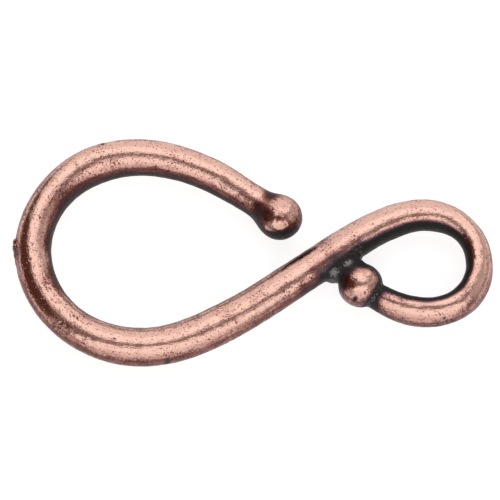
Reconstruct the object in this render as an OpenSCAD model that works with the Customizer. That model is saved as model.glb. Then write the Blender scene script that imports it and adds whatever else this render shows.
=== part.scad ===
// Hook and eye clasp, cast in one piece from round tapered wire.
// A wide open hook ends in a ball. A straight shank climbs from the hook to a small closed eye,
// whose wire comes round and ends in a second ball, soldered to the side of the shank.
// The clasp lies in the XY plane: +X runs from the hook to the eye and +Z is up.
// The origin is the middle of the bottom of its bounding box.

/* [Wire] */
// Thickness of the wire along the straight shank
wire_d = 2.22; // [1.6:0.02:2.6]

/* [Hook] */
// Length of the hook, from the middle of the wire at its nose to the middle of its ball
hook_len = 14.43; // [13:0.1:18]
// Width of the hook, from the middle of its upper wire to the middle of its lower wire
hook_width = 11.6; // [10.6:0.1:15]
// Diameter of the ball at the tip of the hook
hook_ball_d = 2.62; // [2.2:0.02:3.2]

/* [Shank] */
// Length of the straight shank between hook and eye
shank_len = 4.93; // [3.5:0.1:7]
// Angle by which the shank climbs from the length of the clasp
shank_slope = 34.2; // [28:1:40]

/* [Eye] */
// Length of the eye, from the end of the shank to the middle of the wire at its far end
eye_len = 8.53; // [7.5:0.1:11]
// Width of the eye, from the middle of its upper wire to the middle of its lower wire
eye_width = 5.93; // [5.4:0.1:8]
// Diameter of the ball that closes the eye
eye_ball_d = 2.62; // [2.2:0.02:3.2]
// How far past the end of the straight shank the ball is seated
eye_ball_lead = 0.24; // [-0.6:0.05:0.6]

/* [Solder] */
// Gap between the eye's ball and the side of the shank, which the solder fills
solder_gap = 0.04; // [0.02:0.02:0.3]
// Radius of the solder's hollow side towards the hook
solder_hook_r = 0.5; // [0.2:0.05:0.9]
// Radius of the solder's hollow side inside the eye
solder_eye_r = 0.18; // [0.1:0.02:0.4]
// Height of the solder
solder_h = 1.5; // [0.8:0.1:1.8]

/* [Sprue] */
// Diameter of the cut sprue on the nose of the hook
sprue_d = 1.2; // [0.6:0.1:1.6]
// How far the high edge of the cut sprue stands out of the wire
sprue_out = 0.16; // [0.05:0.01:0.4]

/* [Hidden] */

// Roundness of the balls, the solder's hollow sides and the sprue
$fn = 96;
// Number of sides of the wire's section
wire_sides = 24;
// Most that the wire turns from one ring to the next, in degrees
ring_turn = 6;
// Most that the wire runs from one ring to the next, as a share of wire_d
ring_run = 0.3;
// How far the solder reaches into the shank and the ball
solder_bite = 0.03;

// Radii of the wire along the shank and of the two balls
wire_r = wire_d / 2;
hook_ball_r = hook_ball_d / 2;
eye_ball_r = eye_ball_d / 2;

// Columns of the two tables of places
COL_X = 0;
COL_Y = 1;
COL_HEADING = 2;
COL_WIRE = 3;

// Places along the hook, from its ball to the shank.
// Columns: distance from the nose as a share of hook_len, height above the middle of the hook
// as a share of hook_width, heading of the wire in degrees, thickness as a share of wire_d
HOOK = [
    // middle of the ball
    [1.000,  0.182, 146.0, 0.92],
    // neck behind the ball
    [0.868,  0.294, 147.5, 0.79],
    // arm
    [0.731,  0.399, 154.0, 0.86],
    // top
    [0.423,  0.500, 180.5, 0.95],
    // upper side of the nose
    [0.117,  0.348, 225.5, 0.95],
    // nose
    [0.000,  0.013, 270.0, 0.96],
    // lower side of the nose
    [0.119, -0.338, 315.0, 0.95],
    // bottom
    [0.443, -0.500, 360.0, 1.02],
    // foot, where the bend runs out
    [0.723, -0.405, 386.5, 1.03],
    // start of the shank
    [0.935, -0.252, 360 + shank_slope, 1.00]
];
NOSE = 5;

// Places along the eye, from the end of the shank to the bottom of the eye.
// Columns: distance past the end of the shank as a share of eye_len, height above it
// as a share of eye_width, heading of the wire in degrees, thickness as a share of wire_d
EYE = [
    // end of the shank
    [0.000,  0.000, 360 + shank_slope, 0.98],
    // rise
    [0.360,  0.311, 384.0, 0.90],
    // top
    [0.624,  0.404, 360.0, 0.84],
    // shoulder
    [0.932,  0.193, 307.0, 0.70],
    // far end
    [0.999, -0.125, 270.0, 0.71],
    // lower corner
    [0.909, -0.441, 226.0, 0.74],
    // bottom
    [0.635, -0.596, 180.0, 0.72]
];
// Heading and thickness of the wire where it runs into the eye's ball
eye_tip_heading = 142;
eye_tip_share = 0.67;

// Unit vectors along a heading and to the right of it
function ahead(heading) = [cos(heading), sin(heading)];
function right(heading) = [sin(heading), -cos(heading)];

// One place of a table, as [point, heading, radius]
function place(row, start, len, width) =
    [start + [row[COL_X] * len, row[COL_Y] * width], row[COL_HEADING], row[COL_WIRE] * wire_r];

hook_places = [for (row = HOOK) place(row, [0, 0], hook_len, hook_width)];
shank_start = hook_places[len(hook_places) - 1][0];
shank_end = shank_start + shank_len * ahead(shank_slope);
eye_places = [for (row = EYE) place(row, shank_end, eye_len, eye_width)];

// Middles of the two balls and radius of the shank where the eye's ball sits
hook_ball = hook_places[0][0];
seat = shank_end + eye_ball_lead * ahead(shank_slope);
seat_r = eye_places[0][2];
eye_ball = seat + (seat_r + solder_gap + eye_ball_r) * right(shank_slope);

// All places of the wire, from the hook's ball to the eye's ball
places = concat(hook_places, eye_places, [[eye_ball, eye_tip_heading, eye_tip_share * wire_r]]);

// Point at share t of the smooth bend from place a to place b
function bend_point(a, b, t) =
    let (
        pull = norm(b[0] - a[0]) / pow(cos((b[1] - a[1]) / 4), 2),
        t2 = t * t,
        t3 = t2 * t
    )
    (2 * t3 - 3 * t2 + 1) * a[0] + (t3 - 2 * t2 + t) * pull * ahead(a[1])
    + (3 * t2 - 2 * t3) * b[0] + (t3 - t2) * pull * ahead(b[1]);

// Heading of the same bend at share t
function bend_heading(a, b, t) =
    let (
        step = 0.001,
        run = bend_point(a, b, min(1, t + step)) - bend_point(a, b, max(0, t - step))
    )
    atan2(run[1], run[0]);

// Radius of the wire at share t, eased from place a to place b
function bend_radius(a, b, t) = a[2] + (b[2] - a[2]) * t * t * (3 - 2 * t);

// Number of rings from place a to place b
function ring_count(a, b) =
    ceil(max(abs(b[1] - a[1]) / ring_turn, norm(b[0] - a[0]) / (ring_run * wire_d)));

// Rings of the wire, as [point, heading, radius]
rings = [
    for (i = [0:len(places) - 2])
        let (a = places[i], b = places[i + 1], count = ring_count(a, b))
            for (k = [0:count - 1])
                let (t = k / count)
                    [bend_point(a, b, t), bend_heading(a, b, t), bend_radius(a, b, t)],
    places[len(places) - 1]
];

// Bounding box of the clasp, before it is moved to the origin
nose = hook_places[NOSE];
sprue_x = nose[0][0] - nose[2] - sprue_out;
low_x = min(sprue_x, min([for (ring = rings) ring[0][0] - ring[2] * abs(right(ring[1])[0])]));
high_x = max([for (ring = rings) ring[0][0] + ring[2] * abs(right(ring[1])[0])]);
low_y = min([for (ring = rings) ring[0][1] - ring[2] * abs(right(ring[1])[1])]);
high_y = max([for (ring = rings) ring[0][1] + ring[2] * abs(right(ring[1])[1])]);
low_z = -max(hook_ball_r, eye_ball_r, max([for (ring = rings) ring[2]]));

// The wire from ball to ball, as one closed skin over its rings
module wire() {
    points = [
        for (ring = rings)
            for (k = [0:wire_sides - 1])
                let (turn = k * 360 / wire_sides, middle = ring[0] + ring[2] * cos(turn) * right(ring[1]))
                    [middle[0], middle[1], ring[2] * sin(turn)]
    ];
    last = (len(rings) - 1) * wire_sides;
    faces = [
        [for (k = [wire_sides - 1:-1:0]) k],
        for (i = [0:wire_sides:last - wire_sides])
            for (k = [0:wire_sides - 1])
                let (a = i + k, b = i + (k + 1) % wire_sides)
                    [a, b, b + wire_sides, a + wire_sides],
        [for (k = [0:wire_sides - 1]) last + k]
    ];
    polyhedron(points, faces, convexity = 6);
}

// A ball with its middle at a point of the plane
module ball(middle, radius) {
    translate([middle[0], middle[1], 0])
        sphere(radius);
}

// Solder between the shank and the eye's ball, hollow on both sides
module solder() {
    shank_side = seat_r - solder_bite;
    ball_side = eye_ball_r - solder_bite;
    ball_y = norm(eye_ball - seat);
    hook_y = shank_side + solder_hook_r;
    eye_y = shank_side + solder_eye_r;
    hook_x = sqrt(pow(ball_side + solder_hook_r, 2) - pow(ball_y - hook_y, 2));
    eye_x = sqrt(pow(ball_side + solder_eye_r, 2) - pow(ball_y - eye_y, 2));
    translate([seat[0], seat[1], 0])
        rotate([0, 0, shank_slope])
            linear_extrude(solder_h, center = true)
                difference() {
                    polygon([
                        [-hook_x, -seat_r / 2],
                        [-hook_x, -hook_y],
                        [0, -ball_y],
                        [eye_x, -eye_y],
                        [eye_x, -seat_r / 2]
                    ]);
                    translate([-hook_x, -hook_y])
                        circle(solder_hook_r);
                    translate([eye_x, -eye_y])
                        circle(solder_eye_r);
                }
}

// Stump of the sprue, cut at a slant so that its low edge ends flush with the nose
module sprue() {
    lean = asin(min(1, sprue_out / sprue_d));
    reach = (nose[2] + sprue_out - sprue_d / 2 * sin(lean)) / cos(lean);
    translate([nose[0][0], nose[0][1], 0])
        rotate([0, -90, lean])
            cylinder(h = reach, d = sprue_d);
}

module hook_clasp() {
    color("#a8705c")
        translate([-(low_x + high_x) / 2, -(low_y + high_y) / 2, -low_z])
            union() {
                wire();
                ball(hook_ball, hook_ball_r);
                ball(eye_ball, eye_ball_r);
                solder();
                sprue();
            }
}

hook_clasp();
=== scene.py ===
"""Hook and eye clasp of a necklace or bracelet, cast in one piece and finished in antique copper."""

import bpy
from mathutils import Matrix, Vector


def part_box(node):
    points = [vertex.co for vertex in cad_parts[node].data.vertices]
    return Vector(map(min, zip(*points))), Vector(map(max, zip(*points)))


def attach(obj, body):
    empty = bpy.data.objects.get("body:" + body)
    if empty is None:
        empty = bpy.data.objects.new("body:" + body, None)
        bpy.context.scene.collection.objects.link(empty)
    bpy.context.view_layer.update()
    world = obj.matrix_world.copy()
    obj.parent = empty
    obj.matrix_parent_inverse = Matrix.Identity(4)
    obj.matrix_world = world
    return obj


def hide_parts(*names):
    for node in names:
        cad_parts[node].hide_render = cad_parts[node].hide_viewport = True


bl_info = {
    "name": "Antique Copper Clasp",
    "version": (1, 0, 0),
    "blender": (4, 5, 0),
    "location": "3D View > Sidebar > Clasp",
    "description": "Makes a cast hook and eye clasp with its dents and tarnish, and a studio to show it in",
    "category": "Add Mesh",
}

import math

import bpy
import numpy as np
from bpy.props import FloatProperty, FloatVectorProperty, PointerProperty
from mathutils import Euler, Vector, noise

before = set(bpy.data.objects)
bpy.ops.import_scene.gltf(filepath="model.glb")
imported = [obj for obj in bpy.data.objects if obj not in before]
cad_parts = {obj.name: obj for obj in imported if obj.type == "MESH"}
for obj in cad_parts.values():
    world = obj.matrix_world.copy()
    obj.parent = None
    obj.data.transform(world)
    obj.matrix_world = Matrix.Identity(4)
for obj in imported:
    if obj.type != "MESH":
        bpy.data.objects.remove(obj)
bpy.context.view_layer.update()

MM = 0.001
NODE = "hook_clasp"

# Places along the hook, from its ball to the shank.
# Columns: distance from the nose as a share of the hook's length, height above the hook's middle as a
# share of its width, heading of the wire in degrees, thickness as a share of the shank's
HOOK = (
    (1.000, 0.182, 146.0, 0.92),
    (0.868, 0.294, 147.5, 0.79),
    (0.731, 0.399, 154.0, 0.86),
    (0.423, 0.500, 180.5, 0.95),
    (0.117, 0.348, 225.5, 0.95),
    (0.000, 0.013, 270.0, 0.96),
    (0.119, -0.338, 315.0, 0.95),
    (0.443, -0.500, 360.0, 1.02),
    (0.723, -0.405, 386.5, 1.03),
    (0.935, -0.252, 394.2, 1.00),
)

# Places along the eye, from the end of the shank to its bottom.
# Columns: distance past the shank as a share of the eye's length, height above the shank's end as a
# share of the eye's width, heading of the wire in degrees, thickness as a share of the shank's
EYE = (
    (0.000, 0.000, 394.2, 0.98),
    (0.360, 0.311, 384.0, 0.90),
    (0.624, 0.404, 360.0, 0.84),
    (0.932, 0.193, 307.0, 0.70),
    (0.999, -0.125, 270.0, 0.71),
    (0.909, -0.441, 226.0, 0.74),
    (0.635, -0.596, 180.0, 0.72),
)
# Heading in degrees and thickness as a share of the shank's where the wire runs into the eye's ball
EYE_TIP = (142.0, 0.67)

# Lumps left by the solder between ball and shank.
# Columns: x, y, height above the wire's middle and radius in mm, share of grey painted sheen on it
SOLDER_LUMPS = (
    (5.54, -0.88, 0.42, 0.42, 0.9),
    (4.68, -1.38, 0.38, 0.38, 1.0),
    (5.12, -1.18, 0.40, 0.36, 0.0),
    (5.95, -0.95, 0.20, 0.40, 0.0),
)

# Rags of the torn sprue on the nose.
# Columns: x, y, half length along the wire, half height and half thickness, in mm
SPRUE_RAGS = (
    (-13.87, 0.60, 0.20, 0.46, 0.16),
    (-13.88, 0.26, 0.26, 0.50, 0.17),
    (-13.84, -0.14, 0.26, 0.42, 0.13),
    (-13.76, -0.56, 0.24, 0.34, 0.12),
)

# Places where the upper side of the wire leans to the right of its heading, and the lower side to the left.
# Columns: x, y and reach in mm, lean as a share of the height above the wire's middle
LEANS = (
    (-4.0, 5.8, 6.0, 0.08),
    (-1.0, 4.4, 2.2, 0.07),
    (-9.6, 5.3, 2.1, 0.16),
    (3.5, -0.9, 3.5, 0.07),
    (9.2, -4.0, 2.8, 0.28),
    (12.0, -2.6, 1.8, 0.12),
    (13.0, -1.6, 1.2, 0.10),
)

# Flats polished on the upper side. Columns: x, y and reach in mm, slope down towards +y
FLATS = (
    (1.60, 2.15, 0.95, 0.14),
)

# Waves that casting and tumbling left on the skin. Columns: height and length in mm
WAVES = (
    (0.012, 2.2),
    (0.010, 0.9),
    (0.012, 0.4),
)

# Dents and pocks. Columns: x, y, 1 on the upper side or -1 on the lower, radius, depth, in mm
DENTS = (
    (1.52, 1.74, 1, 0.13, 0.022),
    (1.76, 1.62, 1, 0.11, 0.018),
    (1.40, 1.52, 1, 0.10, 0.014),
    (5.97, -3.00, 1, 0.15, 0.085),
    (6.55, -2.75, 1, 0.09, 0.040),
    (-11.14, -4.56, 1, 0.13, 0.010),
    (-10.73, -5.11, 1, 0.15, 0.012),
    (-8.80, 6.39, 1, 0.14, 0.040),
    (-4.94, -6.73, 1, 0.16, 0.050),
    (-12.84, 0.15, 1, 0.10, 0.050),
    (-12.95, -0.76, 1, 0.10, 0.040),
    (1.70, 1.95, -1, 0.30, 0.050),
    (6.50, -1.80, -1, 0.34, 0.060),
    (-6.20, 6.00, -1, 0.22, 0.050),
    (-12.60, -2.20, -1, 0.20, 0.050),
    (-1.40, -5.20, -1, 0.24, 0.050),
    (9.60, 2.30, -1, 0.18, 0.040),
)

# Places where the patina gathered. Columns: x, y, radius in mm, strength
STAINS = (
    (0.50, 2.35, 0.50, 0.60),
    (1.04, 3.22, 0.44, 0.85),
    (2.30, 1.00, 0.45, 0.25),
    (5.36, -1.40, 0.52, 0.60),
    (5.28, -2.20, 0.34, 0.45),
    (8.70, -2.75, 0.60, 0.32),
    (10.10, -2.75, 0.65, 0.32),
    (11.40, -2.40, 0.60, 0.25),
    (7.70, -2.40, 0.45, 0.22),
    (6.40, -0.85, 0.44, 0.70),
    (6.85, -3.30, 0.40, 0.40),
    (-10.70, 2.70, 1.50, 0.34),
    (-11.65, 0.40, 0.75, 0.36),
    (-11.45, -1.70, 0.85, 0.40),
    (3.20, -0.20, 0.70, 0.12),
    (4.40, 0.30, 0.60, 0.17),
    (4.55, -0.50, 0.45, 0.20),
    (3.75, -1.40, 0.55, 0.20),
    (3.00, -2.20, 0.50, 0.20),
    (-13.70, -0.05, 0.40, 0.25),
    (1.55, 1.72, 0.24, 0.36),
    (1.98, 1.74, 0.24, 0.30),
    (12.30, -2.30, 0.45, 0.26),
    (12.90, -1.20, 0.40, 0.20),
    (-1.20, -4.20, 0.50, 0.18),
    (0.40, -3.25, 0.50, 0.20),
    (1.70, -2.40, 0.50, 0.18),
)

# How the patina lies on the hook's ball and on the eye's. Columns: degrees by which it comes further up
# towards +x and towards +y, its share all round, which is partly painted shade where the ball turns steep
# towards its outline, and the leans in degrees where it starts and is full
BALL_SIDES = (
    (14.0, -16.0, 0.12, 60.0, 76.0),
    (17.0, 14.0, 0.42, 62.0, 80.0),
)

# Round softboxes over the clasp.
# Columns: name, lean of the middle from straight above towards the back and towards the right, half angle
# across it from front to back and from left to right, all in degrees, brightness
SOFTBOXES = (
    ("softbox back", 50, 0, 47, 38, 1.10),
    ("softbox above", 27, -3, 20, 26, 0.42),
    ("softbox front", -54, 4, 35, 43, 1.10),
    ("fill front", -37, 4, 15, 40, 0.35),
    ("fill above", -6, 2, 16, 32, 0.20),
    ("fill right", 27, 48, 46, 20, 0.54),
    ("fill far right", 24, 77, 40, 20, 0.40),
    ("fill left", -76, -44, 24, 18, 0.45),
)

# Width of the camera's sensor in mm, and how far it sees in metres
SENSOR_WIDTH = 36
CAMERA_REACH = 10


def length(name, description, default_mm):
    """A length that a user may change, shown in the scene's units."""
    default = default_mm * MM
    return FloatProperty(name=name, description=description, default=default, min=0.0, unit="LENGTH")


def share(name, description, default):
    """A plain number between zero and one."""
    return FloatProperty(
        name=name, description=description, default=default, min=0.0, max=1.0, subtype="FACTOR"
    )


def angle(name, description, degrees):
    """An angle that a user may change."""
    default = math.radians(degrees)
    return FloatProperty(name=name, description=description, default=default, subtype="ANGLE")


def colour(name, description, default):
    """A colour in linear light."""
    return FloatVectorProperty(
        name=name, description=description, default=default, min=0.0, max=1.0, subtype="COLOR"
    )


class ClaspSizes(bpy.types.PropertyGroup):
    """Sizes of the casting."""

    wire: length("Wire", "Thickness of the wire along the straight shank", 2.22)
    hook_length: length("Hook length", "From the wire's middle at the nose to the ball's middle", 14.43)
    hook_width: length("Hook width", "Between the middles of the hook's upper and lower wire", 11.6)
    hook_ball: length("Hook ball", "Diameter of the ball at the tip of the hook", 2.62)
    shank_length: length("Shank length", "Straight length of wire between hook and eye", 4.93)
    eye_length: length("Eye length", "From the end of the shank to the wire's middle at the far end", 8.53)
    eye_width: length("Eye width", "Between the middles of the eye's upper and lower wire", 5.93)
    eye_ball: length("Eye ball", "Diameter of the ball that closes the eye", 2.62)
    ball_lead: length("Ball lead", "How far past the end of the shank the eye's ball sits", 0.24)
    solder_gap: length("Solder gap", "Gap between the eye's ball and the shank", 0.04)
    solder_hook_side: length("Solder towards hook", "Radius of the solder's hollow on the hook's side", 0.5)
    solder_eye_side: length("Solder inside eye", "Radius of the solder's hollow inside the eye", 0.18)
    solder_height: length("Solder height", "Height of the solder between ball and shank", 1.3)
    neck: length("Neck", "How softly the wire runs into the hook's ball", 0.5)
    groove: length("Groove", "How softly the wire runs into the eye's ball", 0.12)
    detail: length("Detail", "Width of the faces of the skin", 0.08)


class ClaspFinish(bpy.types.PropertyGroup):
    """Colours and gloss of the copper and its patina."""

    copper: colour("Copper", "Polished copper of the high surfaces", (0.64, 0.412, 0.343))
    flush: colour("Flush", "Redder copper where the polish wore thin", (0.42, 0.215, 0.182))
    brown: colour("Brown", "Red-brown edge of the patina", (0.17, 0.066, 0.053))
    plum: colour("Plum", "Dark patina on the hook and the shank", (0.050, 0.025, 0.029))
    slate: colour("Slate", "Grey-black patina inside the eye and on the solder", (0.022, 0.0195, 0.019))
    mauve: colour("Mauve", "Purple edge of the patina round the eye and the solder", (0.118, 0.068, 0.083))
    # Painted sheen: grey painted where the solder's lumps and the groove catch the light
    painted_sheen: colour("Bloom", "Grey bloom on the lumps of the solder", (0.27, 0.275, 0.29))
    roughness: share("Roughness", "Roughness of the polished copper", 0.165)
    relief: share("Relief", "How strongly the fine grain shows in the light", 0.6)


class StudioSettings(bpy.types.PropertyGroup):
    """The floor, the light of the room and the camera."""

    floor: colour("Floor", "Pale floor under the clasp", (0.36, 0.36, 0.36))
    floor_side: length("Floor side", "Side of the square floor", 3000)
    glow: share("Glow", "Light from the pale floor itself, which softens the shadows", 0.82)
    room: colour("Room", "Dim warm light of the room behind the softboxes", (0.11, 0.042, 0.03))
    softbox_distance: length("Softbox distance", "From the softboxes to the clasp", 400)
    field: length("Field", "Width of the picture at the clasp", 29.24)
    off_centre: length("Off centre", "How far right and low the clasp lies in the picture", 0.146)
    distance: length("Distance", "From the camera to the clasp", 300)
    lean: angle("Lean", "How far the camera leans from straight above", 17)


def ahead(heading):
    """Unit vector along a heading in radians."""
    return np.stack([np.cos(heading), np.sin(heading)], axis=-1)


def right_of(heading):
    """Unit vector to the right of a heading in radians."""
    return np.stack([np.sin(heading), -np.cos(heading)], axis=-1)


def ease(span, value):
    """Rises smoothly from 0 at the span's low end to 1 at its high end."""
    low, high = span
    t = np.clip((value - low) / (high - low), 0, 1)
    return t * t * (3 - 2 * t)


def fade(away, reach):
    """Falls smoothly from 1 where away is 0, past a third at reach, to almost 0 at twice the reach."""
    return np.exp(-((away / reach) ** 2))


def away_from(points, x, y):
    """Distance of points from a place, as seen from above."""
    return np.hypot(points[:, 0] - x, points[:, 1] - y)


def blend(a, b, softness):
    """Joins two distances with a fillet that is softness wide."""
    mix = np.clip(0.5 + 0.5 * (b - a) / softness, 0, 1)
    return b + (a - b) * mix - softness * mix * (1 - mix)


class Wire:
    """The bent wire's middle line in its own plane, as close points with a radius each, in mm."""

    # Distance between its points, and how many points of the plane are searched for at once
    spacing = 0.05
    batch = 4096

    def __init__(self, sizes):
        wire = sizes.wire / MM
        hook = [self.place(row, (0, 0), sizes.hook_length, sizes.hook_width, wire) for row in HOOK]
        slope = hook[-1][1]
        self.shank_start = hook[-1][0]
        self.shank_end = self.shank_start + sizes.shank_length / MM * ahead(slope)
        eye = [self.place(row, self.shank_end, sizes.eye_length, sizes.eye_width, wire) for row in EYE]
        self.hook_ball = hook[0][0]
        self.seat_radius = eye[0][2]
        self.seat = self.shank_end + sizes.ball_lead / MM * ahead(slope)
        reach = self.seat_radius + (sizes.solder_gap + sizes.eye_ball / 2) / MM
        self.eye_ball = self.seat + reach * right_of(slope)
        self.slope = slope
        tip = (self.eye_ball, math.radians(EYE_TIP[0]), EYE_TIP[1] * wire / 2)
        self.lay(hook + eye + [tip])

    @staticmethod
    def place(row, start, long, wide, wire):
        """One row of a table as its point, heading and radius."""
        x, y, heading, thickness = row
        point = np.array([start[0] + x * long / MM, start[1] + y * wide / MM])
        return point, math.radians(heading), thickness * wire / 2

    def lay(self, places):
        """Lays close points along the smooth bends from place to place."""
        points, radii = [], []
        for (a, turn_a, radius_a), (b, turn_b, radius_b) in zip(places, places[1:]):
            chord = math.dist(a, b)
            pull = chord / math.cos((turn_b - turn_a) / 4) ** 2
            t = np.linspace(0, 1, max(2, round(chord / self.spacing)), endpoint=False)[:, None]
            points.append(
                (2 * t**3 - 3 * t**2 + 1) * a + (t**3 - 2 * t**2 + t) * pull * ahead(turn_a)
                + (3 * t**2 - 2 * t**3) * b + (t**3 - t**2) * pull * ahead(turn_b)
            )
            radii.append(radius_a + (radius_b - radius_a) * (t * t * (3 - 2 * t))[:, 0])
        self.points = np.vstack(points + [places[-1][0][None]])
        self.radii = np.append(np.concatenate(radii), places[-1][2])
        steps = np.diff(self.points, axis=0)
        self.runs = np.append(0, np.cumsum(np.hypot(*steps.T)))
        slopes = np.gradient(self.points, self.runs, axis=0)
        self.ahead = slopes / np.hypot(*slopes.T)[:, None]
        self.right = np.stack([self.ahead[:, 1], -self.ahead[:, 0]], axis=1)
        self.taper = np.gradient(self.radii, self.runs)

    def nearest(self, plan, near=None, reach=5):
        """Number of the wire's point nearest to each point of the plane, looked for within reach of near."""
        if near is not None:
            tries = np.clip(near[:, None] + np.arange(-reach, reach + 1), 0, len(self.points) - 1)
            best = ((plan[:, None] - self.points[tries]) ** 2).sum(axis=2).argmin(axis=1)
            return tries[np.arange(len(plan)), best]
        found = []
        for part in np.array_split(plan, 1 + len(plan) // self.batch):
            found.append(((part[:, None] - self.points) ** 2).sum(axis=2).argmin(axis=1))
        return np.concatenate(found)

    def locate(self, plan, near):
        """Distance along the wire and to its right, and its radius there, by its nearest points."""
        away = plan - self.points[near]
        on = (away * self.ahead[near]).sum(axis=-1)
        across = (away * self.right[near]).sum(axis=-1)
        return self.runs[near] + on, across, self.radii[near] + self.taper[near] * on

    def run_to(self, place):
        """Distance along the wire to the point nearest to a place."""
        return self.runs[away_from(self.points, *place).argmin()]

    def past_ends(self, run):
        """How far a distance along the wire lies past the wire's nearer end."""
        return np.maximum(0, np.maximum(-run, run - self.runs[-1]))


class Casting:
    """Distance from the metal's surface, below zero inside it, in mm, with the wire at height zero."""

    # Softness of the fillets where the solder meets wire and ball, a lump the solder, and a rag the nose
    solder_fillet = 0.3
    lump_fillet = 0.32
    rag_fillet = 0.08
    # Empty cells of the grid round the metal, and share of a cell that the surface keeps from its points
    margin = 3
    clear = 0.05

    def __init__(self, sizes):
        self.wire = Wire(sizes)
        self.step = sizes.detail / MM
        self.hook_ball = sizes.hook_ball / 2 / MM
        self.eye_ball = sizes.eye_ball / 2 / MM
        self.neck = sizes.neck / MM
        self.groove = sizes.groove / MM
        self.solder_height = sizes.solder_height / MM
        self.hollows = (-sizes.solder_hook_side / MM, sizes.solder_eye_side / MM)
        low, high = (np.array(corner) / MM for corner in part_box(NODE))
        spread = self.wire.radii[:, None] * np.abs(self.wire.right)
        self.shift = np.array([
            high[0] - (self.wire.points + spread).max(axis=0)[0],
            high[1] - (self.wire.points + spread).max(axis=0)[1],
            (low[2] + high[2]) / 2,
        ])
        self.low, self.high = low - self.shift, high - self.shift
        self.leans = np.zeros(len(self.wire.points))
        for x, y, reach, lean in LEANS:
            self.leans += lean * fade(away_from(self.wire.points + self.shift[:2], x, y), reach)

    def distance(self, plan, height, near):
        """Distance of points at a height over the plan, with the wire's points nearest to them."""
        rod, hook_ball, eye_ball, solder = self.parts(plan, height, near)
        metal = blend(rod, hook_ball, self.neck)
        metal = blend(metal, eye_ball, self.groove)
        metal = blend(metal, solder, self.solder_fillet)
        return self.ragged(plan, height, metal)

    def parts(self, plan, height, near):
        """Distances of points from the wire, from the two balls and from the solder."""
        run, across, radius = self.wire.locate(plan, near)
        across = across - self.leans[near] * height
        rod = np.sqrt(across**2 + self.wire.past_ends(run) ** 2 + height**2) - radius
        hook_ball = self.ball(plan, height, self.wire.hook_ball, self.hook_ball)
        eye_ball = self.ball(plan, height, self.wire.eye_ball, self.eye_ball)
        return rod, hook_ball, eye_ball, self.solder(plan, height)

    @staticmethod
    def ball(plan, height, middle, radius):
        """Distance of points from a ball whose middle lies at height zero."""
        return np.sqrt(((plan - middle) ** 2).sum(axis=-1) + height**2) - radius

    def solder(self, plan, height):
        """A plate between ball and shank with a round hollow at each end, and the lumps on it."""
        wire = self.wire
        away = plan - wire.seat
        x = away @ ahead(wire.slope)
        y = away @ right_of(wire.slope)
        ball_y = math.dist(wire.seat, wire.eye_ball)
        sides = [-y]
        for hollow in self.hollows:
            r = abs(hollow)
            middle_y = wire.seat_radius + r
            middle_x = math.copysign(math.sqrt((self.eye_ball + r) ** 2 - (ball_y - middle_y) ** 2), hollow)
            sides.append(r - np.hypot(x - middle_x, y - middle_y))
            sides.append((x - middle_x) * math.copysign(1, hollow))
            slant = abs(middle_x) * (y - ball_y) + (ball_y - middle_y) * np.abs(x)
            sides.append(slant / (self.eye_ball + r))
        solder = np.maximum(np.maximum.reduce(sides), np.abs(height) - self.solder_height / 2)
        for x, y, up, radius, _ in SOLDER_LUMPS:
            over = np.maximum(np.abs(height) - up, 0)
            lump = self.ball(plan, over, np.array([x, y]) - self.shift[:2], radius)
            solder = blend(solder, lump, self.lump_fillet)
        return solder

    def ragged(self, plan, height, metal):
        """Adds the rags of the sprue to the metal."""
        for x, y, half_y, half_z, half_x in SPRUE_RAGS:
            at = (plan - (np.array([x, y]) - self.shift[:2])) / (half_x, half_y)
            rag = (np.sqrt((at**2).sum(axis=-1) + (height / half_z) ** 2) - 1) * min(half_x, half_y)
            metal = blend(metal, rag, self.rag_fillet)
        return metal

    def field(self):
        """Distances over a grid, with its low corner and the wire's points nearest to its columns."""
        spare = self.margin * self.step
        x, y, z = (np.arange(a - spare, b + spare, self.step) for a, b in zip(self.low, self.high))
        plan = np.stack(np.meshgrid(x, y, indexing="ij"), axis=-1).reshape(-1, 2)
        near = self.wire.nearest(plan)
        field = self.distance(plan[:, None], z[None], near[:, None])
        return field.reshape(len(x), len(y), len(z)), np.array([x[0], y[0], z[0]]), near

    def surface(self):
        """Points on the surface, its direction and the wire's nearest points there, and four-sided faces."""
        field, corner, columns = self.field()
        cells, faces = skin(untangle(field, self.clear * self.step))
        if not len(faces):
            raise RuntimeError("These sizes leave no metal to cast")
        across = cells[:, :2].round().astype(int)
        near = columns[across[:, 0] * field.shape[1] + across[:, 1]]
        points, ways, near = self.settle(corner + self.step * even_out(cells, faces), near)
        return points, ways, near, faces

    def settle(self, points, near, rounds=2, nudge=0.004, least_steep=0.2):
        """Moves points onto the surface. Returns them, its direction and the wire's nearest points there."""
        for _ in range(rounds):
            near = self.wire.nearest(points[:, :2], near)
            here = self.distance(points[:, :2], points[:, 2], near)
            slope = np.empty_like(points)
            for axis in range(3):
                moved = points.copy()
                moved[:, axis] += nudge
                slope[:, axis] = (self.distance(moved[:, :2], moved[:, 2], near) - here) / nudge
            steep = np.maximum((slope**2).sum(axis=1), least_steep)[:, None]
            points = points - here[:, None] * slope / steep
        return points, slope / np.sqrt(steep), near


def untangle(field, clear):
    """Keeps the surface clear of the grid's points, and fills squares with metal at opposite corners alone.

    Without it some faces would collapse, and some edges would be shared by four faces.
    """
    field = np.where(field < 0, np.minimum(field, -clear), np.maximum(field, clear))
    for axis in (0, 1, 2, 0, 1, 2):
        layers = np.moveaxis(field, axis, 2)
        metal = layers < 0
        first, second = layers[:-1, :-1], layers[1:, :-1]
        across = (metal[:-1, :-1] == metal[1:, 1:]) & (metal[1:, :-1] == metal[:-1, 1:])
        crossed = across & (metal[:-1, :-1] != metal[1:, :-1])
        first[crossed & (first > 0)] = -clear
        second[crossed & (second > 0)] = -clear
    return field


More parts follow.
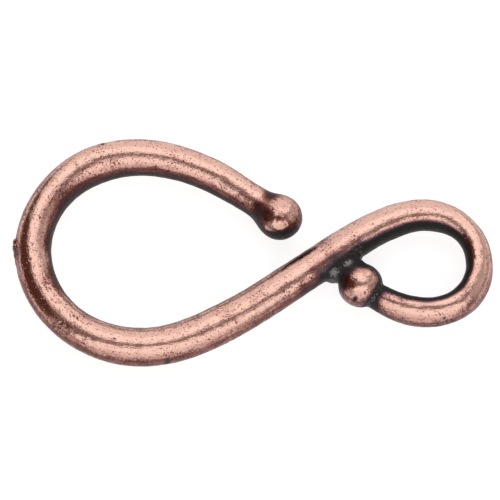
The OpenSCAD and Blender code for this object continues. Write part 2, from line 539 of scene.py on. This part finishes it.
def skin(field):
    """Skin of the solid where field is below zero, as points in cells and faces with four corners."""
    stride = np.array([field.shape[1] * field.shape[2], field.shape[2], 1])
    total = np.zeros((3, field.size))
    count = np.zeros(field.size)
    faces = []
    for axis in range(3):
        u, v = np.eye(3, dtype=int)[(axis + 1) % 3], np.eye(3, dtype=int)[(axis + 2) % 3]
        inside = np.moveaxis(field, axis, 0) < 0
        at = np.argwhere(np.moveaxis(inside[:-1] != inside[1:], 0, axis))
        first = field.ravel()[at @ stride]
        second = field.ravel()[at @ stride + stride[axis]]
        where = at.astype(float)
        where[:, axis] += first / (first - second)
        cells = np.stack([at - u - v, at - v, at, at - u], axis=1) @ stride
        cells[first >= 0] = cells[first >= 0][:, ::-1]
        faces.append(cells)
        for corner in cells.T:
            count += np.bincount(corner, minlength=field.size)
            for c in range(3):
                total[c] += np.bincount(corner, weights=where[:, c], minlength=field.size)
    used = np.flatnonzero(count)
    number = np.zeros(field.size, int)
    number[used] = np.arange(len(used))
    return (total[:, used] / count[used]).T, number[np.vstack(faces)]


def even_out(points, faces, rounds=3):
    """Moves each point halfway to the middle of its neighbours, so that no face is left narrow."""
    count = np.bincount(faces.ravel(), minlength=len(points))
    for _ in range(rounds):
        total = np.zeros_like(points)
        for corner, following in zip(faces.T, np.roll(faces, -1, axis=1).T):
            for c in range(3):
                total[:, c] += np.bincount(corner, weights=points[following, c], minlength=len(points))
        points = (points + total / count[:, None]) / 2
    return points


def grain(points, size, seed, apart=17.3):
    """Smooth noise from about -1 to 1 at points, in waves of about the size, for each seed its own."""
    return np.array([noise.noise(Vector(point)) for point in points / size + apart * seed])


def dent(away):
    """Depth of a dent at a share of its radius from its middle, with the rim that it pushed up."""
    hollow = np.exp(-2 * away**2)
    rim = 0.25 * np.exp(-8 * (away - 1.15) ** 2)
    return hollow - rim


def wear(placed, ways):
    """Height in mm by which casting, tumbling, polishing and knocks raised or sank the skin."""
    height = np.zeros(len(placed))
    for seed, (swell, size) in enumerate(WAVES, start=1):
        height += swell * grain(placed, size, seed)
    for x, y, reach, slope in FLATS:
        height -= (ways[:, 2] > 0) * slope * (placed[:, 1] - y) * fade(away_from(placed, x, y), reach)
    for x, y, side, radius, depth in DENTS:
        facing = side * ways[:, 2] > 0
        height -= facing * depth * dent(away_from(placed, x, y) / radius)
    return height


class Value:
    """A number that varies over a surface. An expression on it adds the Math nodes that work it out."""

    def __init__(self, finish, socket):
        self.finish = finish
        self.socket = socket

    def math(self, operation, *values):
        """The result of a Math node on values."""
        return self.finish.add("ShaderNodeMath", {"operation": operation}, dict(enumerate(values)))

    def __add__(self, other):
        return self.math("ADD", self, other)

    def __radd__(self, other):
        return self.math("ADD", other, self)

    def __sub__(self, other):
        return self.math("SUBTRACT", self, other)

    def __rsub__(self, other):
        return self.math("SUBTRACT", other, self)

    def __mul__(self, other):
        return self.math("MULTIPLY", self, other)

    def __rmul__(self, other):
        return self.math("MULTIPLY", other, self)

    def rise(self, low, high):
        """Rises smoothly from 0 where the value is low to 1 where it is high."""
        settings = {"interpolation_type": "SMOOTHSTEP"}
        inputs = {"Value": self, "From Min": low, "From Max": high}
        return self.finish.add("ShaderNodeMapRange", settings, inputs)


class Finish:
    """A material in the making."""

    def __init__(self, name):
        self.material = bpy.data.materials.new(name)
        self.material.use_nodes = True
        self.tree = self.material.node_tree
        self.shader = self.tree.nodes["Principled BSDF"]

    def add(self, kind, settings=None, inputs=None, output=0):
        """Adds a node, sets it up, fills its sockets with values or links, and returns one of its outputs."""
        node = self.tree.nodes.new(kind)
        for key, setting in (settings or {}).items():
            setattr(node, key, setting)
        for key, value in (inputs or {}).items():
            self.fill(node.inputs[key], value)
        return Value(self, node.outputs[output])

    def fill(self, socket, value):
        """Links a value to a socket, or sets the socket to a constant."""
        if isinstance(value, Value):
            self.tree.links.new(value.socket, socket)
        else:
            socket.default_value = value

    def attribute(self, name, output="Fac"):
        """A number, or with the output Vector a vector, that the mesh carries on its points."""
        return self.add("ShaderNodeAttribute", {"attribute_name": name}, output=output)

    def stretch(self, vector, scale):
        """A vector multiplied by another."""
        return self.add("ShaderNodeVectorMath", {"operation": "MULTIPLY"}, {0: vector, 1: scale})

    def noise(self, vector, waves, detail=2.0, roughness=0.5):
        """Noise from about -0.5 to 0.5, with waves as their number in each unit along each axis."""
        vector = self.stretch(vector, waves)
        inputs = {"Vector": vector, "Scale": 1.0, "Detail": detail, "Roughness": roughness}
        return self.add("ShaderNodeTexNoise", None, inputs) - 0.5

    def paint(self, mask, below, above):
        """The colour below where the mask is 0 and the colour above where it is 1."""
        return self.add("ShaderNodeMix", {"data_type": "RGBA"}, {0: mask, 6: below, 7: above}, output=2)

    def set(self, **inputs):
        """Fills the shader's sockets, named with underscores for spaces."""
        for key, value in inputs.items():
            self.fill(self.shader.inputs[key.replace("_", " ")], value)


# Waves in each mm of the finish's grains, across the wire, up and along it
STREAKS = (5.0, 5.0, 0.9)
HAIRS = (16.0, 16.0, 3.0)
# Waves or cells in each mm of the finish's other grains, along x, y and z
SPECKLE = (8.0, 8.0, 8.0)
CLOUDS = (1.1, 1.1, 1.1)
LUMPS = (2.6, 2.6, 2.6)
CELLS = (4.2, 4.2, 4.2)
# Depths of the patina where each of its tones starts and where it is full
FLUSHED = (0.02, 0.42)
BROWNED = (0.24, 0.56)
DARKENED = (0.50, 0.84)
# Values of the grains where the specks, the pits' clean metal and the painted sheen start and where they are
# full
SPECKED = (0.07, 0.21)
CLEAN = (0.05, 0.14)
PAINTED_SHEEN_RISE = (0.30, 1.00)
# Height in metres that the finish's grain stands for
RELIEF_HEIGHT = 0.02 * MM


def antique_copper(tones):
    """Copper plate, oxidised dark and then polished, so that the dark stays in the hollows.

    On steep outer flanks and ball rims the dark is partly painted shade, and the grey on the solder is
    painted sheen.
    """
    finish = Finish("antique_copper")
    along = finish.attribute("along", "Vector")
    place = finish.attribute("place", "Vector")
    # How dark: patina, and on steep outer flanks and ball rims partly painted shade
    tarnish_and_shade = finish.attribute("tarnish_and_shade")
    slate = finish.attribute("slate")
    # Where grey is painted as sheen on the solder's lumps and in the groove
    painted_sheen = finish.attribute("painted_sheen")

    streaks = finish.noise(along, STREAKS, 3.0, 0.6)
    hairs = finish.noise(along, HAIRS, 2.0, 0.6)
    speckle = finish.noise(place, SPECKLE, 2.0, 0.8)
    clouds = finish.noise(place, CLOUDS)
    lumps = finish.noise(place, LUMPS)
    cells = finish.add("ShaderNodeTexVoronoi", None, {"Vector": finish.stretch(place, CELLS), "Scale": 1.0})
    pits = 1 - (cells + 0.5 * speckle + 0.6 * clouds).rise(*CLEAN)

    specks = (speckle + 0.4 * clouds).rise(*SPECKED)
    mottle = 0.6 * streaks + 0.7 * speckle + 0.42 * specks + 0.2 * clouds
    depth = tarnish_and_shade + 0.015 + (1 - 0.4 * slate) * mottle
    flushed = depth.rise(*FLUSHED)
    browned = depth.rise(*BROWNED)
    darkened = depth.rise(*DARKENED)
    # Grey painted sheen where the solder's lumps and the groove catch the light
    painted_sheen_share = 0.8 * (painted_sheen + 1.7 * speckle + 0.5 * lumps).rise(*PAINTED_SHEEN_RISE)

    copper = finish.paint(flushed, (*tones.copper, 1), (*tones.flush, 1))
    edge = finish.paint(slate, (*tones.brown, 1), (*tones.mauve, 1))
    brown = finish.paint(browned, copper, edge)
    dark = finish.paint(slate, (*tones.plum, 1), (*tones.slate, 1))
    # Dark patina with the grey painted sheen on it
    dark_with_sheen = finish.paint(painted_sheen_share, dark, (*tones.painted_sheen, 1))
    tinted = finish.paint(darkened, brown, dark_with_sheen)
    pitted = finish.paint(pits * (0.75 - 0.75 * darkened), tinted, (*tones.brown, 1))

    relief = streaks + 0.6 * hairs + 0.8 * speckle + 0.9 * lumps - 1.2 * pits - 0.3 * browned
    inputs = {"Strength": tones.relief, "Distance": RELIEF_HEIGHT, "Height": relief}
    bump = finish.add("ShaderNodeBump", None, inputs)
    finish.set(
        Base_Color=pitted,
        Metallic=1 - 0.7 * darkened,
        Roughness=tones.roughness + 0.2 * speckle + 0.15 * browned + 0.14 * darkened + 0.15 * pits,
        Specular_IOR_Level=0.12,
        Normal=bump,
    )
    return finish.material


class PatinaShadeAndSheen:
    """The dark patina that the polish left on the skin, by its lean and by what the patina gathered in.

    Where the outer flanks and the balls turn steep towards their outline the dark is partly painted shade,
    and the grey on the solder is painted sheen.
    """

    # Degrees off facing straight up or down where the patina starts and where it is full. On the outer side,
    # at its edge and round the balls' rims it is partly painted shade where the skin turns towards the
    # outline
    outer_patina_and_shade_lean = (22, 66)
    edge_patina_and_shade_lean = (50, 74)
    hook_lean = (28, 86)
    eye_lean = (18, 54)
    rim_patina_and_shade_lean = (36, 72)
    flank_lean = (35, 70)
    # Share of patina and painted shade that the outer side holds, how much less of it in the eye, and share
    # of patina and painted shade added at its steep edge
    outer_patina_and_shade_share = 0.43
    less_in_eye = 0.06
    edge_patina_and_shade_share = 0.12
    # How much more stays on top of the inner side than of the outer, and where between them nothing changes
    inner_more = 0.10
    unchanged = 0.75
    # How far past the shank's start and past the seat of the eye's ball the eye's patina starts and is full
    eye_starts = 2.5
    eye_full = 1.0
    # Distance from a ball's surface, in mm, up to which the skin is its own, and past which it is the wire's
    own_ball = 0.02
    own_wire = 0.03
    # Least level share of the skin's direction that still tells its heading
    least_level = 0.01
    # Reach in mm of the patina in the neck, in the groove and beside it, and on the solder and round it
    neck_reach = 0.30
    groove_reach = 0.17
    beside_reach = 0.5
    web_reach = 0.11
    haze_reach = 0.60
    # Share of the wire's radius, to its right, where the haze round the solder starts and is full
    haze_side = (-0.3, 0.4)
    # Shares of what gathered in the neck, beside the groove and in the haze
    neck_share = 0.25
    beside_share = 0.75
    haze_share = 0.36
    # Most that a dent holds, and depth in mm by which its share is reckoned
    dent_most = 0.8
    dent_depth = 0.06
    # Patina of the side where plum turns to slate, and the haze's share of slate
    slate_side = (0.8, 1.0)
    haze_slate = 0.7
    # Painted sheen in the groove and in the haze, and reach in mm of a lump's painted sheen off the solder
    # and off its middle
    groove_painted_sheen = 0.55
    haze_painted_sheen = 0.42
    lump_depth = 0.10
    lump_reach = 0.4

    def __init__(self, casting, placed, near, points, ways):
        self.placed = placed
        self.ways = ways
        self.lean = np.degrees(np.arccos(np.clip(np.abs(ways[:, 2]), 0, 1)))
        parts = casting.parts(points[:, :2], points[:, 2], near)
        self.rod, self.hook_ball, self.eye_ball, solder = parts
        self.solder = np.maximum(solder, 0)
        wire = casting.wire
        run, across, radius = wire.locate(points[:, :2], near)
        self.across = across / radius
        shank_run = wire.run_to(wire.shank_start)
        seat_run = wire.run_to(wire.seat)
        self.in_eye = ease((shank_run + self.eye_starts, seat_run + self.eye_full), run)
        turned = ease((shank_run, seat_run), run)
        self.inner = np.where(across < 0, 1 - turned, turned)

    def wire_side(self):
        """Patina on the wire, which is thickest on the inner walls of the hook and the eye. On the outer side
        it darkens towards the steep flanks and their edge, which is partly patina and partly painted shade.
        """
        tilt = self.in_eye * np.degrees(np.arcsin(np.clip(np.abs(self.across), 0, 1)))
        # Darker towards the steep outer flanks and their edge: partly patina, partly painted shade towards
        # the outline
        outer_patina_and_shade = (self.outer_patina_and_shade_share - self.less_in_eye * self.in_eye) * ease(self.outer_patina_and_shade_lean, self.lean)
        outer_patina_and_shade = outer_patina_and_shade + self.edge_patina_and_shade_share * ease(self.edge_patina_and_shade_lean, self.lean)
        hook = ease(self.hook_lean, self.lean)
        eye = ease(self.eye_lean, np.maximum(self.lean, tilt))
        side = outer_patina_and_shade + (hook + (eye - hook) * self.in_eye - outer_patina_and_shade) * self.inner
        top = 1 - ease(self.flank_lean, self.lean)
        return side + self.inner_more * (self.inner - self.unchanged) * top

    def side(self):
        """Patina on the wire and on its two balls, partly painted shade where they turn steep towards their
        outline.
        """
        side = self.wire_side()
        level = np.maximum(np.hypot(*self.ways[:, :2].T), self.least_level)
        heading = self.ways[:, :2] / level[:, None]
        for ball, (x, y, rim, low, high) in zip((self.hook_ball, self.eye_ball), BALL_SIDES):
            dark = ease((low, high), self.lean + heading @ (x, y))
            # All round each ball's steep rim: partly patina, partly painted shade towards its outline
            rim_patina_and_shade = rim * ease(self.rim_patina_and_shade_lean, self.lean)
            side = np.where(ball < self.own_ball, np.maximum(dark, rim_patina_and_shade), side)
        return side

    def gathered(self):
        """Patina that gathered in stains and dents."""
        gathered = np.zeros(len(self.placed))
        for x, y, reach, strength in STAINS:
            gathered += strength * fade(away_from(self.placed, x, y), reach)
        for x, y, side, radius, depth in DENTS:
            facing = side * self.ways[:, 2] > 0
            share_held = min(self.dent_most, depth / self.dent_depth)
            away = away_from(self.placed, x, y) / radius
            gathered += facing * share_held * np.exp(-2 * away**2)
        return gathered

    def layers(self):
        """How far the patina, partly painted shade on steep flanks and rims, covers each point, how grey it
        is there, and how much painted sheen may lie on it.
        """
        side = self.side()
        crease = np.abs(self.rod) + np.abs(self.eye_ball)
        groove = fade(crease, self.groove_reach)
        neck = np.exp(-(np.abs(self.rod) + np.abs(self.hook_ball)) / self.neck_reach)
        beside = (self.eye_ball > self.own_wire) * fade(crease, self.beside_reach)
        web = np.exp(-self.solder / self.web_reach)
        haze = fade(self.solder, self.haze_reach) * ease(self.haze_side, self.across)
        creases = self.neck_share * neck + groove + self.beside_share * beside + web
        tarnish_and_shade = side + creases + self.haze_share * haze + self.gathered()
        slate = ease(self.slate_side, side) + self.in_eye * (1 + self.inner) / 2
        slate = slate + web + groove + self.haze_slate * haze
        # Grey painted as sheen in the groove, in the haze round the solder and on the solder's lumps
        painted_sheen = np.maximum(self.groove_painted_sheen * groove, self.haze_painted_sheen * haze * (1 - web))
        for x, y, _, _, painted_sheen_share in SOLDER_LUMPS:
            on_lump = fade(away_from(self.placed, x, y), self.lump_reach)
            painted_sheen = np.maximum(painted_sheen, painted_sheen_share * np.exp(-self.solder / self.lump_depth) * on_lump)
        return {"tarnish_and_shade": np.minimum(tarnish_and_shade, 1), "slate": np.minimum(slate, 1), "painted_sheen": painted_sheen}


def mesh_of(points, faces, vectors, shares):
    """A smooth mesh of points in mm, which carries vectors and shares on its points for the finish."""
    mesh = bpy.data.meshes.new("clasp")
    mesh.from_pydata(points * MM, [], faces)
    for name, values in vectors.items():
        layer = mesh.attributes.new(name, "FLOAT_VECTOR", "POINT")
        layer.data.foreach_set("vector", values.ravel())
    for name, values in shares.items():
        layer = mesh.attributes.new(name, "FLOAT", "POINT")
        layer.data.foreach_set("value", values)
    mesh.shade_smooth()
    return mesh


class CLASP_OT_cast(bpy.types.Operator):
    """Casts the clasp: the bent wire with its two balls, solder and torn sprue"""

    bl_idname = "clasp.cast"
    bl_label = "Cast the clasp"

    def execute(self, context):
        casting = Casting(context.scene.clasp_sizes)
        points, ways, near, faces = casting.surface()
        run, across, _ = casting.wire.locate(points[:, :2], near)
        worn = points + ways * wear(points + casting.shift, ways)[:, None]
        placed = np.clip(worn + casting.shift, *(np.array(corner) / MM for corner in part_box(NODE)))
        vectors = {"along": np.stack([across, points[:, 2], run], axis=1), "place": placed}
        mesh = mesh_of(placed, faces, vectors, PatinaShadeAndSheen(casting, placed, near, points, ways).layers())
        mesh.materials.append(antique_copper(context.scene.clasp_finish))
        clasp = bpy.data.objects.new("clasp", mesh)
        context.scene.collection.objects.link(clasp)
        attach(clasp, "root")
        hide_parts(NODE)
        return {"FINISHED"}


class CLASP_OT_studio(bpy.types.Operator):
    """Sets the floor, the soft lights and the camera"""

    bl_idname = "clasp.studio"
    bl_label = "Set the studio"

    def execute(self, context):
        studio = context.scene.clasp_studio
        self.lay_floor(context, studio)
        for row in SOFTBOXES:
            self.hang_softbox(context, studio.softbox_distance, *row)
        self.set_camera(context, studio)
        world = bpy.data.worlds.new("studio")
        world.use_nodes = True
        world.node_tree.nodes["Background"].inputs["Color"].default_value = (*studio.room, 1)
        context.scene.world = world
        context.scene.view_settings.view_transform = "Standard"
        return {"FINISHED"}

    @staticmethod
    def lay_floor(context, studio):
        """Lays the pale floor under the clasp."""
        mesh = bpy.data.meshes.new("floor")
        half = studio.floor_side / 2
        corners = [(-half, -half, 0), (half, -half, 0), (half, half, 0), (-half, half, 0)]
        mesh.from_pydata(corners, [], [(0, 1, 2, 3)])
        finish = Finish("pale_floor")
        finish.set(Base_Color=(*studio.floor, 1), Roughness=0.9, Specular_IOR_Level=0.1)
        finish.set(Emission_Color=(1, 1, 1, 1), Emission_Strength=studio.glow)
        mesh.materials.append(finish.material)
        floor = bpy.data.objects.new("floor", mesh)
        context.scene.collection.objects.link(floor)

    @staticmethod
    def hang_softbox(context, distance, name, back, right, half_long, half_wide, brightness):
        """Hangs one round softbox that faces the clasp, with the power that its size and brightness take."""
        light = bpy.data.lights.new(name, "AREA")
        light.shape = "ELLIPSE"
        light.size = 2 * distance * math.tan(math.radians(half_wide))
        light.size_y = 2 * distance * math.tan(math.radians(half_long))
        light.energy = brightness * math.pi * (math.pi / 4 * light.size * light.size_y)
        softbox = bpy.data.objects.new(name, light)
        aim = Euler((-math.radians(back), math.radians(right), 0), "YXZ").to_matrix()
        softbox.rotation_euler = aim.to_euler()
        softbox.location = distance * aim.col[2]
        softbox.visible_camera = False
        context.scene.collection.objects.link(softbox)

    @staticmethod
    def set_camera(context, studio):
        """Sets the camera over the clasp, leaning towards the front."""
        camera = bpy.data.cameras.new("camera")
        camera.sensor_width = SENSOR_WIDTH
        camera.lens = SENSOR_WIDTH * studio.distance / studio.field
        camera.clip_end = CAMERA_REACH
        view = bpy.data.objects.new("camera", camera)
        up = Vector((0, math.cos(studio.lean), math.sin(studio.lean)))
        out = Vector((0, -math.sin(studio.lean), math.cos(studio.lean)))
        low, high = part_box(NODE)
        middle = Vector((-studio.off_centre, 0, (low[2] + high[2]) / 2))
        view.location = middle + studio.off_centre * up + studio.distance * out
        view.rotation_euler = (studio.lean, 0, 0)
        context.scene.collection.objects.link(view)
        context.scene.camera = view


class CLASP_PT_workshop(bpy.types.Panel):
    """Sizes, finish and studio of the clasp"""

    bl_idname = "CLASP_PT_workshop"
    bl_label = "Antique Copper Clasp"
    bl_space_type = "VIEW_3D"
    bl_region_type = "UI"
    bl_category = "Clasp"

    def draw(self, context):
        """Lists the sizes, colours and settings, each with the button that uses them."""
        layout = self.layout
        scene = context.scene
        for settings, operator in (
            (scene.clasp_sizes, None),
            (scene.clasp_finish, CLASP_OT_cast),
            (scene.clasp_studio, CLASP_OT_studio),
        ):
            box = layout.box()
            for key in settings.__annotations__:
                box.prop(settings, key)
            if operator:
                box.operator(operator.bl_idname)


CLASSES = (ClaspSizes, ClaspFinish, StudioSettings, CLASP_OT_cast, CLASP_OT_studio, CLASP_PT_workshop)


def register():
    """Adds the settings, operators and panel to Blender."""
    for cls in CLASSES:
        bpy.utils.register_class(cls)
    bpy.types.Scene.clasp_sizes = PointerProperty(type=ClaspSizes)
    bpy.types.Scene.clasp_finish = PointerProperty(type=ClaspFinish)
    bpy.types.Scene.clasp_studio = PointerProperty(type=StudioSettings)


def unregister():
    """Takes them out again."""
    del bpy.types.Scene.clasp_studio
    del bpy.types.Scene.clasp_finish
    del bpy.types.Scene.clasp_sizes
    for cls in reversed(CLASSES):
        bpy.utils.unregister_class(cls)


def main():
    """Makes the clasp and its studio."""
    register()
    bpy.ops.clasp.cast()
    bpy.ops.clasp.studio()


if __name__ == "__main__":
    main()
